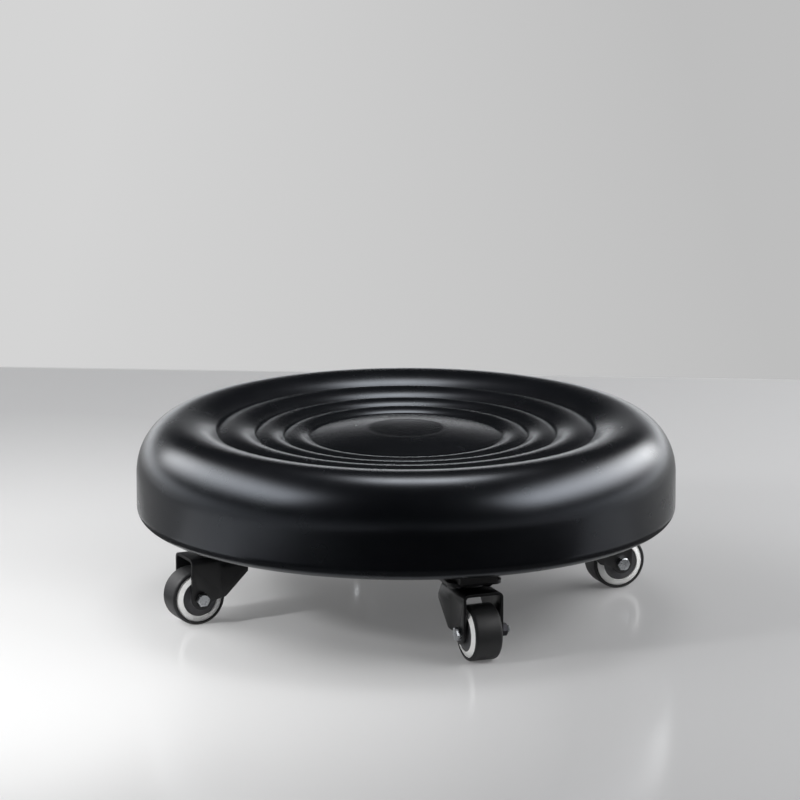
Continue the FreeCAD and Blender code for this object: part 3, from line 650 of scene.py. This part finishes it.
def core_outline():
    upper = [
        (HUB_BORE, BUSH_STOP), (BUSH_SEAT, BUSH_STOP), (BUSH_SEAT, HUB_FACE), (HUB_RADIUS, HUB_FACE),
        (HUB_RADIUS, WEB_HALF), (RIM_WELL, WEB_HALF), (RIM_WELL, RIM_FACE),
        (RIM_RADIUS - TYRE_GAP, RIM_FACE - RIM_BEVEL),
    ]
    return rounded(both_halves(upper), CORE_ROUNDING)


def cover_outline():
    boss = COVER_FACE + BOSS_HEIGHT
    return rounded([
        (HUB_BORE, HUB_FACE), (COVER_EDGE, HUB_FACE), (COVER_EDGE, COVER_FACE),
        (BOSS_RADIUS + BOSS_HEIGHT, COVER_FACE), (BOSS_RADIUS, boss), (HUB_BORE, boss),
    ], COVER_ROUNDING)


def axle_stand(side):
    joint = joints[f"roll_{side}"]
    stand = Vector(joint["axis"]).to_track_quat("Z", "Y").to_matrix().to_4x4()
    stand.translation = joint["pos_m"]
    return stand


def wheels():
    tyre = turned(tyre_outline(), "tyre_rubber", WHEEL_FACETS)
    core = turned(core_outline(), "pale_core_plastic", WHEEL_FACETS)
    cover = turned(cover_outline(), "dark_cover_plastic", WHEEL_FACETS)
    for side in SIDES:
        stand = axle_stand(side)
        body = f"wheel_{side}_body"
        for name, pattern, slot in (
                ("tyre", tyre, "tyre_rubber"), ("wheel_core", core, "pale_core_plastic")):
            mesh = pattern.copy()
            mesh.transform(stand)
            fitted(f"{name}_{side}_moulding", mesh, body, slot, f"{name}_{side}")
        both = bmesh.new()
        for turn in (0, math.pi):
            half = cover.copy()
            half.transform(stand @ Matrix.Rotation(turn, 4, "X"))
            both.from_mesh(half)
        mesh = cover.copy()
        both.to_mesh(mesh)
        both.free()
        fitted(f"hub_covers_{side}_moulding", mesh, body, "dark_cover_plastic", f"hub_covers_{side}")


# Pressed, sawn and moulded pieces keep their solid's shape and get the softened edges of the real ones
def edged(node, body, slot, edge, sharp=30, shaped=None):
    shape = bmesh.new()
    shape.from_mesh(nodes[node].data)
    bmesh.ops.remove_doubles(shape, verts=shape.verts, dist=WELD * MM)
    if shaped:
        shaped(shape)
    flat = math.radians(FLAT_ANGLE)
    bmesh.ops.dissolve_limit(shape, angle_limit=flat, verts=shape.verts, edges=shape.edges)
    mesh = bpy.data.meshes.new(f"{node}_finished")
    shape.to_mesh(mesh)
    shape.free()
    holder = new_object("edging", mesh)
    bevel = holder.modifiers.new("edge", "BEVEL")
    bevel.width = edge * MM
    bevel.segments = 2
    bevel.limit_method = "ANGLE"
    bevel.angle_limit = math.radians(sharp)
    finished = plain_mesh(holder)
    bpy.data.objects.remove(holder)
    finished.materials.clear()
    finished.materials.append(FINISHES[slot])
    finished.shade_smooth()
    finished.set_sharp_from_angle(angle=math.radians(sharp))
    fitted(f"{node}_finished", finished, body, slot, node)


def eased(value, start, stop):
    part = min(max((value - start) / (stop - start), 0), 1)
    return part * part * (3 - 2 * part)


# The fork's cheeks step outwards along a pressed crease, which fades below the crown
def creased(side):
    swivel, roll = joints[f"swivel_{side}"], joints[f"roll_{side}"]
    axle = Vector(roll["axis"])
    ahead = Vector((axle.y, -axle.x, 0))
    centred = Matrix.Translation((-swivel["pos_m"][0], -swivel["pos_m"][1], 0))
    local = Matrix((ahead, axle, (0, 0, 1))).to_4x4() @ centred
    low, high = CREASE_FADE
    cuts = [((along, 0, 0), (1, 0, 0)) for along in (CREASE_FROM, (CREASE_FROM + CREASE_TO) / 2, CREASE_TO)]
    cuts += [((0, 0, height), (0, 0, 1)) for height in (low, (low + high) / 2, high)]

    def press(shape):
        shape.transform(local)
        for point, normal in cuts:
            parts = shape.verts[:] + shape.edges[:] + shape.faces[:]
            spot = Vector(point) * MM
            bmesh.ops.bisect_plane(shape, geom=parts, dist=WELD * MM, plane_co=spot, plane_no=normal)
        for vert in shape.verts:
            along, across, height = vert.co / MM
            if abs(across) > FORK_INNER - CHEEK_SLACK and height < high:
                step = CREASE_STEP * eased(along, CREASE_FROM, CREASE_TO) * (1 - eased(height, low, high))
                vert.co.y += math.copysign(step * MM, across)
        shape.transform(local.inverted())

    return press


def casters():
    for side in SIDES:
        fork = f"fork_{side}_body"
        edged(f"fork_{side}", fork, "black_caster_paint", FORK_EDGE, shaped=creased(side))
        edged(f"caster_plate_{side}", "seat", "black_caster_paint", PLATE_EDGE)


def frame_cross():
    for bar in ("frame_bar_long", "frame_bar_rear", "frame_bar_front"):
        edged(bar, "seat", "black_frame_paint", BAR_EDGE)
    edged("bar_end_caps", "seat", "black_cap_plastic", CAP_EDGE)


def places_object(places):
    mesh = bpy.data.meshes.new("places")
    mesh.from_pydata([Vector((x, y, 0)) * MM for x, y in places], [], [])
    return new_object("places", mesh)


def fastened(name, fastener, places, slot, node):
    spots, one = places_object(places), new_object("fastener", fastener)
    mesh = from_tree(FASTENING, Places=spots, Fastener=one, Finish=FINISHES[slot])
    for done in (spots, one):
        bpy.data.objects.remove(done)
    mesh.materials.clear()
    mesh.materials.append(FINISHES[slot])
    fitted(name, mesh, "seat", slot, node)


def round_arms(offsets):
    places = []
    for quarter in range(4):
        turn = Matrix.Rotation(math.radians(ARM_ANGLE + 90 * quarter), 2)
        places += [turn @ Vector(offset) for offset in offsets]
    return places


# Hex heads and nuts are chamfered round their free faces, as headed and pressed ones are
def hexed(shape, flats, seat, face, bore=0, both=False):
    inner = CHAMFER_SHARE * flats / 2
    rise = 1 if face > seat else -1
    rings = []
    for count in range(HEX_FACETS):
        turn = 2 * math.pi * count / HEX_FACETS
        spoke = Vector((math.cos(turn), math.sin(turn), 0))
        reach = flats / 2 / math.cos(turn % (math.pi / 3) - math.pi / 6)
        drop = rise * (reach - inner) * math.tan(math.radians(CHAMFER_ANGLE))
        ring = [(inner, seat), (reach, seat + drop)] if both else [(reach, seat)]
        ring += [(reach, face - drop), (inner, face)]
        if bore:
            ring = [(bore, seat)] + ring + [(bore, face)]
        rings.append([shape.verts.new((spoke * out + Vector((0, 0, up))) * MM) for out, up in ring])
    last = len(rings[0]) - 1
    for here, after in zip(rings, rings[1:] + rings[:1]):
        for level in range(last):
            shape.faces.new((here[level], after[level], after[level + 1], here[level + 1]))
        if bore:
            shape.faces.new((here[last], after[last], after[0], here[0]))
    if not bore:
        for level in (0, last):
            shape.faces.new([ring[level] for ring in rings])


def rod_outline(radius, low, high, chamfer):
    return [
        (0, low), (radius - chamfer, low), (radius, low + chamfer),
        (radius, high - chamfer), (radius - chamfer, high), (0, high),
    ]


def finished_shape(shape, name, sharp):
    mesh = bpy.data.meshes.new(name)
    shape.to_mesh(mesh)
    shape.free()
    return outwards(mesh, sharp)


def frame_bolt():
    shape = bmesh.new()
    hexed(shape, BOLT_FLATS, PLATE_TOP, PLATE_TOP - BOLT_HEAD)
    rod = rod_outline(BOLT_RADIUS, PLATE_TOP - HEAD_OVERLAP, BOLT_TIP, BOLT_CHAMFER)
    shape.from_mesh(turned(rod, "zinc_steel", ROD_FACETS, closed=False))
    return finished_shape(shape, "frame_bolt", BOLT_SHARP)


# Axle bolts lie along the axle, head at the lower end, and turned grooves stand for the thread past the nut
def axle_bolt():
    shape = bmesh.new()
    hexed(shape, AXLE_FLATS, -FORK_OUTER, -FORK_OUTER - AXLE_HEAD)
    root, tip = -FORK_OUTER - HEAD_OVERLAP, AXLE_TIP - AXLE_CHAMFER
    outline = [(0, root), (AXLE_RADIUS, root)]
    at = FORK_OUTER + NUT_HEIGHT - THREAD_PITCH
    while at + THREAD_PITCH < AXLE_TIP:
        outline += [(AXLE_RADIUS, at), (AXLE_RADIUS - THREAD_DEPTH, at + THREAD_PITCH / 2)]
        at += THREAD_PITCH
    outline += [(AXLE_RADIUS, at), (AXLE_RADIUS, tip), (AXLE_RADIUS - AXLE_CHAMFER, AXLE_TIP), (0, AXLE_TIP)]
    shape.from_mesh(turned(outline, "zinc_steel", ROD_FACETS, closed=False))
    return finished_shape(shape, "axle_bolt", BOLT_SHARP)


def axle_nut():
    shape = bmesh.new()
    hexed(shape, AXLE_FLATS, FORK_OUTER, FORK_OUTER + NUT_HEIGHT, bore=AXLE_RADIUS + NUT_GAP, both=True)
    return finished_shape(shape, "axle_nut", BOLT_SHARP)


def axles():
    patterns = (("axle_bolt", axle_bolt(), "zinc_steel"), ("axle_nut", axle_nut(), "black_screw_steel"))
    for side in SIDES:
        flip = Matrix.Rotation(math.pi if side in HEAD_FAR_SIDES else 0, 4, "X")
        for name, pattern, slot in patterns:
            mesh = pattern.copy()
            mesh.transform(axle_stand(side) @ flip)
            mesh.materials.clear()
            fitted(f"{name}_{side}_turned", mesh, f"fork_{side}_body", slot, f"{name}_{side}")


# Pan-head screws with a cross recess
def plate_screw():
    low = PLATE_BOTTOM - SCREW_HEAD
    pan = [(out * SCREW_HEAD_RADIUS, low + up * SCREW_HEAD) for out, up in PAN_SHARES]
    shank = [
        (SCREW_RADIUS, PLATE_BOTTOM), (SCREW_RADIUS, SCREW_TIP - SCREW_RADIUS / 2),
        (SCREW_RADIUS / 2, SCREW_TIP), (0, SCREW_TIP),
    ]
    screw = new_object("screw", turned(pan + shank, "black_screw_steel", ROD_FACETS, closed=False))
    cutters = []
    for across, along in ((CROSS_REACH, CROSS_HALF), (CROSS_HALF, CROSS_REACH)):
        block = bmesh.new()
        bmesh.ops.create_cube(block, size=2)
        sized = Matrix.Diagonal((across * MM, along * MM, CROSS_DEPTH * MM, 1))
        block.transform(Matrix.Translation((0, 0, low * MM)) @ sized)
        mesh = bpy.data.meshes.new("recess")
        block.to_mesh(mesh)
        block.free()
        cutters.append(new_object("recess", mesh))
        cut = screw.modifiers.new("recess", "BOOLEAN")
        cut.operation = "DIFFERENCE"
        cut.solver = "EXACT"
        cut.object = cutters[-1]
    mesh = plain_mesh(screw)
    for done in cutters + [screw]:
        bpy.data.objects.remove(done)
    return outwards(mesh, SCREW_SHARP)


def fasteners():
    bolts = round_arms([(reach, 0) for reach in BOLT_REACHES])
    fastened("frame_bolt_set", frame_bolt(), bolts, "zinc_steel", "frame_bolts")
    alongs = (SWIVEL_RADIUS - SCREW_ALONG, SWIVEL_RADIUS + SCREW_ALONG)
    screws = round_arms([(along, across) for along in alongs for across in (-SCREW_ACROSS, SCREW_ACROSS)])
    fastened("plate_screw_set", plate_screw(), screws, "black_screw_steel", "plate_screws")


# Solids whose shape is right keep it and take the same finishes
def finished_solids():
    kept = {"seat_board": "plywood", "board_tee_nuts": "zinc_steel"}
    for side in SIDES:
        kept[f"king_pin_{side}"] = "zinc_steel"
        kept[f"swivel_balls_{side}"] = "ball_steel"
        kept[f"axle_sleeve_{side}"] = "zinc_steel"
        kept[f"wheel_bushes_{side}"] = "bush_plastic"
    for node, slot in kept.items():
        for held in nodes[node].material_slots:
            held.material = FINISHES[slot]


# Pale glossy floor board with a painted pool of light: towards the left its colour grows paler and runs into
# white that glows. A paper backdrop lies behind a line that runs slightly askew, and on the other sides it
# fades into the same paper, painted paler at the left as if lit from there. Pool, backdrop and a share of the
# board's own colour, a painted glow which lightens the shadow, are shown to the camera and in reflections,
# and light nothing
def floor_finish():
    finish, tree, place = new_finish("pale_studio_floor")
    stretched = add_node(tree, "ShaderNodeMapping", {
        "Vector": place, "Location": PAINTED_POOL_CENTRE, "Scale": PAINTED_POOL_REACH}, vector_type="TEXTURE")
    off = add_node(tree, "ShaderNodeVectorMath", {0: stretched.outputs["Vector"]}, operation="LENGTH")
    # Painted pool of light in the floor colour: paler near the pool, greyer away from it
    painted_pool_tone = add_node(tree, "ShaderNodeMapRange", {
        "Value": off.outputs["Value"], "From Min": PAINTED_POOL_TONE_FADE[0], "From Max": PAINTED_POOL_TONE_FADE[1]})
    colour = add_node(tree, "ShaderNodeMix", {
        0: painted_pool_tone.outputs["Result"], 6: linear("#e9e9e9"), 7: linear("#b9b9ba")}, data_type="RGBA")
    shader = add_node(tree, "ShaderNodeBsdfPrincipled", {
        "Base Color": colour.outputs[2], "Roughness": 0.14, "IOR": 1.4})
    split = add_node(tree, "ShaderNodeSeparateXYZ", {"Vector": place})
    askew = add_node(tree, "ShaderNodeMath", {
        0: split.outputs["X"], 1: BACK_LINE_SLOPE, 2: split.outputs["Y"]}, operation="MULTIPLY_ADD")
    beyond = add_node(tree, "ShaderNodeMapRange", {
        "Value": askew.outputs[0], "From Min": BACK_LINE, "From Max": BACK_LINE + BACK_LINE_WIDTH})
    across = add_node(tree, "ShaderNodeMapRange", {
        "Value": split.outputs["X"], "From Min": -PAPER_HALF, "From Max": PAPER_HALF})
    # Backdrop paper painted paler at the left and greyer at the right, as if lit from the left
    paper_with_painted_falloff = add_node(tree, "ShaderNodeMix", {
        0: across.outputs["Result"], 6: linear("#d4d4d4"), 7: linear("#bebebe")}, data_type="RGBA")
    distance = add_node(tree, "ShaderNodeVectorMath", {0: place}, operation="LENGTH")
    outer = add_node(tree, "ShaderNodeMapRange", {
        "Value": distance.outputs["Value"], "From Min": BACKDROP_FROM, "From Max": BACKDROP_FULL},
        interpolation_type="SMOOTHSTEP")
    backdrop = add_node(tree, "ShaderNodeMath", {
        0: beyond.outputs["Result"], 1: outer.outputs["Result"]}, operation="MAXIMUM")
    behind = add_node(tree, "ShaderNodeMath", {0: backdrop.outputs[0], 1: 0.0}, operation="GREATER_THAN")
    # Painted pool of light: white shown as a glow towards the left
    pool = add_node(tree, "ShaderNodeMapRange", {
        "Value": off.outputs["Value"], "From Min": PAINTED_POOL_FADE[0], "From Max": PAINTED_POOL_FADE[1],
        "To Min": 1, "To Max": 0}, interpolation_type="SMOOTHSTEP")
    lit = add_node(tree, "ShaderNodeMix", {
        0: pool.outputs["Result"], 6: colour.outputs[2], 7: linear("#ffffff")}, data_type="RGBA")
    shown = add_node(tree, "ShaderNodeMix", {
        0: behind.outputs[0], 6: lit.outputs[2], 7: paper_with_painted_falloff.outputs[2]}, data_type="RGBA")
    glow = add_node(tree, "ShaderNodeEmission", {"Color": shown.outputs[2]})
    # Painted glow: a share of the floor colour shown as light everywhere, which lightens the shadow, more in
    # the pool
    painted_glow_share = add_node(tree, "ShaderNodeMapRange", {
        "Value": pool.outputs["Result"], "To Min": PAINTED_SHADOW_LIFT, "To Max": PAINTED_POOL_GLOW})
    share = add_node(tree, "ShaderNodeMath", {
        0: painted_glow_share.outputs["Result"], 1: backdrop.outputs[0]}, operation="MAXIMUM")
    rays = add_node(tree, "ShaderNodeLightPath")
    mirrored = add_node(tree, "ShaderNodeMath", {
        0: rays.outputs["Is Glossy Ray"], 1: rays.outputs["Is Transmission Ray"]}, operation="MAXIMUM")
    seen = add_node(tree, "ShaderNodeMath", {
        0: rays.outputs["Is Camera Ray"], 1: mirrored.outputs[0]}, operation="MAXIMUM")
    part = add_node(tree, "ShaderNodeMath", {0: share.outputs[0], 1: seen.outputs[0]}, operation="MULTIPLY")
    mixed = add_node(tree, "ShaderNodeMixShader", {
        "Fac": part.outputs[0], 1: shader.outputs["BSDF"], 2: glow.outputs["Emission"]})
    add_node(tree, "ShaderNodeOutputMaterial", {"Surface": mixed.outputs["Shader"]})
    return finish


# Matt card with faint fibres, for a painted reflection; it is clear from below, so that the floor under it
# doesn't mirror it
def painted_reflection_card_finish(name, dark, light):
    finish, tree, place = new_finish(name)
    fibres = add_node(tree, "ShaderNodeTexNoise", {"Vector": place, "Scale": 1 / (30 * MM), "Detail": 2})
    colour = add_node(tree, "ShaderNodeMix", {
        0: fibres.outputs["Fac"], 6: linear(dark), 7: linear(light)}, data_type="RGBA")
    shader = add_node(tree, "ShaderNodeBsdfPrincipled", {
        "Base Color": colour.outputs[2], "Roughness": 1.0, "Specular IOR Level": 0.0})
    side = add_node(tree, "ShaderNodeNewGeometry")
    clear = add_node(tree, "ShaderNodeBsdfTransparent")
    mixed = add_node(tree, "ShaderNodeMixShader", {
        "Fac": side.outputs["Backfacing"], 1: shader.outputs["BSDF"], 2: clear.outputs["BSDF"]})
    add_node(tree, "ShaderNodeOutputMaterial", {"Surface": mixed.outputs["Shader"]})
    return finish


def laid_flat(name, corners, faces, height, finish):
    mesh = bpy.data.meshes.new(name)
    mesh.from_pydata([(x, y, height) for x, y in corners], [], faces)
    mesh.materials.append(finish)
    sheet = new_object(name, mesh)
    return sheet


def rectangle(left, near, right, far):
    return [(left, near), (right, near), (right, far), (left, far)], [(0, 1, 2, 3)]


def flat_ring(inner, outer, facets):
    turns = [2 * math.pi * count / facets for count in range(facets)]
    rims = [(reach * math.cos(turn), reach * math.sin(turn)) for reach in (inner, outer) for turn in turns]
    nexts = [(at + 1) % facets for at in range(facets)]
    return rims, [(at, at + facets, after + facets, after) for at, after in enumerate(nexts)]


# Cards lie on the floor as painted reflections: the pad's front mirrors the black one and stays dark, its
# sides mirror the grey ones, and its lower edge mirrors the slate ring, each a painted dark reflection. The
# camera doesn't see them, and they take no light from the stool
def stage():
    floor = rectangle(-FLOOR_HALF, -FLOOR_HALF, FLOOR_HALF, FLOOR_HALF)
    laid_flat("floor", *floor, 0, floor_finish())
    black = painted_reflection_card_finish("matt_black_card", "#040404", "#070707")
    grey = painted_reflection_card_finish("matt_grey_card", "#7c7c7c", "#808080")
    slate = painted_reflection_card_finish("matt_slate_card", "#484848", "#4c4c4c")
    cards = [
        laid_flat("front_card", *rectangle(*FRONT_REFLECTION_CARD), CARD_HEIGHT, black),
        laid_flat("left_card", *rectangle(*LEFT_REFLECTION_CARD), CARD_HEIGHT, grey),
        laid_flat("right_card", *rectangle(*RIGHT_REFLECTION_CARD), CARD_HEIGHT, grey),
        laid_flat("ring_card", *flat_ring(*RING_REFLECTION_CARD, RING_CARD_FACETS), RING_CARD_HEIGHT, slate),
    ]
    for card in cards:
        card.visible_camera = False
        card.visible_diffuse = False
        card.visible_shadow = False


# A softbox runs from one end to the other and faces the stool. Its cloth is brightest along the middle and
# fades to its edges and ends, so that the highlights on the pad have soft edges
def softbox(name, start, stop, width, radiance):
    start, stop = Vector(start), Vector(stop)
    place = (start + stop) / 2
    along = (stop - start).normalized()
    facing = place - Vector(SOFTBOX_AIM)
    facing = (facing - facing.project(along)).normalized()
    lamp = bpy.data.lights.new(name, "AREA")
    lamp.shape = "RECTANGLE"
    lamp.size = (stop - start).length
    lamp.size_y = width
    lamp.energy = radiance * math.pi * lamp.size * lamp.size_y
    lamp.use_nodes = True
    tree = lamp.node_tree
    tree.nodes.clear()
    spot = add_node(tree, "ShaderNodeNewGeometry")
    split = add_node(tree, "ShaderNodeSeparateXYZ", {"Vector": spot.outputs["Parametric"]})
    from_edge = add_node(tree, "ShaderNodeMath", {0: split.outputs["Y"], 1: 0.5}, operation="PINGPONG")
    edges = add_node(tree, "ShaderNodeMapRange", {
        "Value": from_edge.outputs[0], "From Max": 0.5}, interpolation_type="SMOOTHSTEP")
    from_end = add_node(tree, "ShaderNodeMath", {0: split.outputs["X"], 1: 0.5}, operation="PINGPONG")
    ends = add_node(tree, "ShaderNodeMapRange", {
        "Value": from_end.outputs[0], "From Max": SOFTBOX_END_FADE}, interpolation_type="SMOOTHSTEP")
    share = add_node(tree, "ShaderNodeMath", {
        0: edges.outputs["Result"], 1: ends.outputs["Result"]}, operation="MULTIPLY")
    glow = add_node(tree, "ShaderNodeEmission", {"Strength": share.outputs[0]})
    add_node(tree, "ShaderNodeOutputLight", {"Surface": glow.outputs["Emission"]})
    held = new_object(name, lamp)
    turn = Matrix((along, facing.cross(along), facing)).transposed().to_4x4()
    held.matrix_world = Matrix.Translation(place) @ turn


# A soft spot lights the floor and the casters at the left, and is kept out of the pad's gloss
def pool_lamp():
    lamp = bpy.data.lights.new("pool_lamp", "SPOT")
    lamp.energy = POOL_LAMP_POWER
    lamp.spot_size = math.radians(POOL_LAMP_ANGLE)
    lamp.spot_blend = 1.0
    lamp.shadow_soft_size = POOL_LAMP_RADIUS
    held = new_object("pool_lamp", lamp)
    held.location = POOL_LAMP_PLACE
    held.rotation_euler = (Vector(POOL_LAMP_AIM) - held.location).to_track_quat("-Z", "Y").to_euler()
    held.visible_glossy = False


# A dim studio with a pale strip low round it, brightest behind the stool and faint in front
def studio_world():
    world = bpy.data.worlds.new("dim_studio")
    world.use_nodes = True
    tree = world.node_tree
    tree.nodes.clear()
    place = add_node(tree, "ShaderNodeTexCoord")
    toward = add_node(tree, "ShaderNodeSeparateXYZ", {"Vector": place.outputs["Generated"]})
    low = add_node(tree, "ShaderNodeMapRange", {
        "Value": toward.outputs["Z"], "From Min": STRIP_FADE[0], "From Max": STRIP_FADE[1],
        "To Min": 1, "To Max": 0}, interpolation_type="SMOOTHSTEP")
    behind = add_node(tree, "ShaderNodeMapRange", {
        "Value": toward.outputs["Y"], "From Min": STRIP_TURN[0], "From Max": STRIP_TURN[1],
        "To Min": STRIP_FRONT_SHARE, "To Max": 1}, interpolation_type="SMOOTHSTEP")
    share = add_node(tree, "ShaderNodeMath", {
        0: low.outputs["Result"], 1: behind.outputs["Result"]}, operation="MULTIPLY")
    colour = add_node(tree, "ShaderNodeMix", {
        0: share.outputs[0], 6: linear("#121314"), 7: linear("#dfe1e4")}, data_type="RGBA")
    background = add_node(tree, "ShaderNodeBackground", {
        "Color": colour.outputs[2], "Strength": STUDIO_STRENGTH})
    add_node(tree, "ShaderNodeOutputWorld", {"Surface": background.outputs["Background"]})
    scene.world = world


def lights():
    for values in SOFTBOXES:
        softbox(*values)
    pool_lamp()
    studio_world()


def camera():
    data = bpy.data.cameras.new("camera")
    data.sensor_width = CAMERA_SENSOR
    data.lens = CAMERA_LENS
    data.clip_end = CAMERA_FAR
    held = new_object("camera", data)
    held.location = CAMERA_PLACE
    held.rotation_euler = (math.radians(CAMERA_TILT), 0, 0)
    scene.camera = held


seat_pad()
wheels()
casters()
axles()
frame_cross()
fasteners()
finished_solids()
stage()
lights()
camera()
scene.view_settings.view_transform = "Standard"
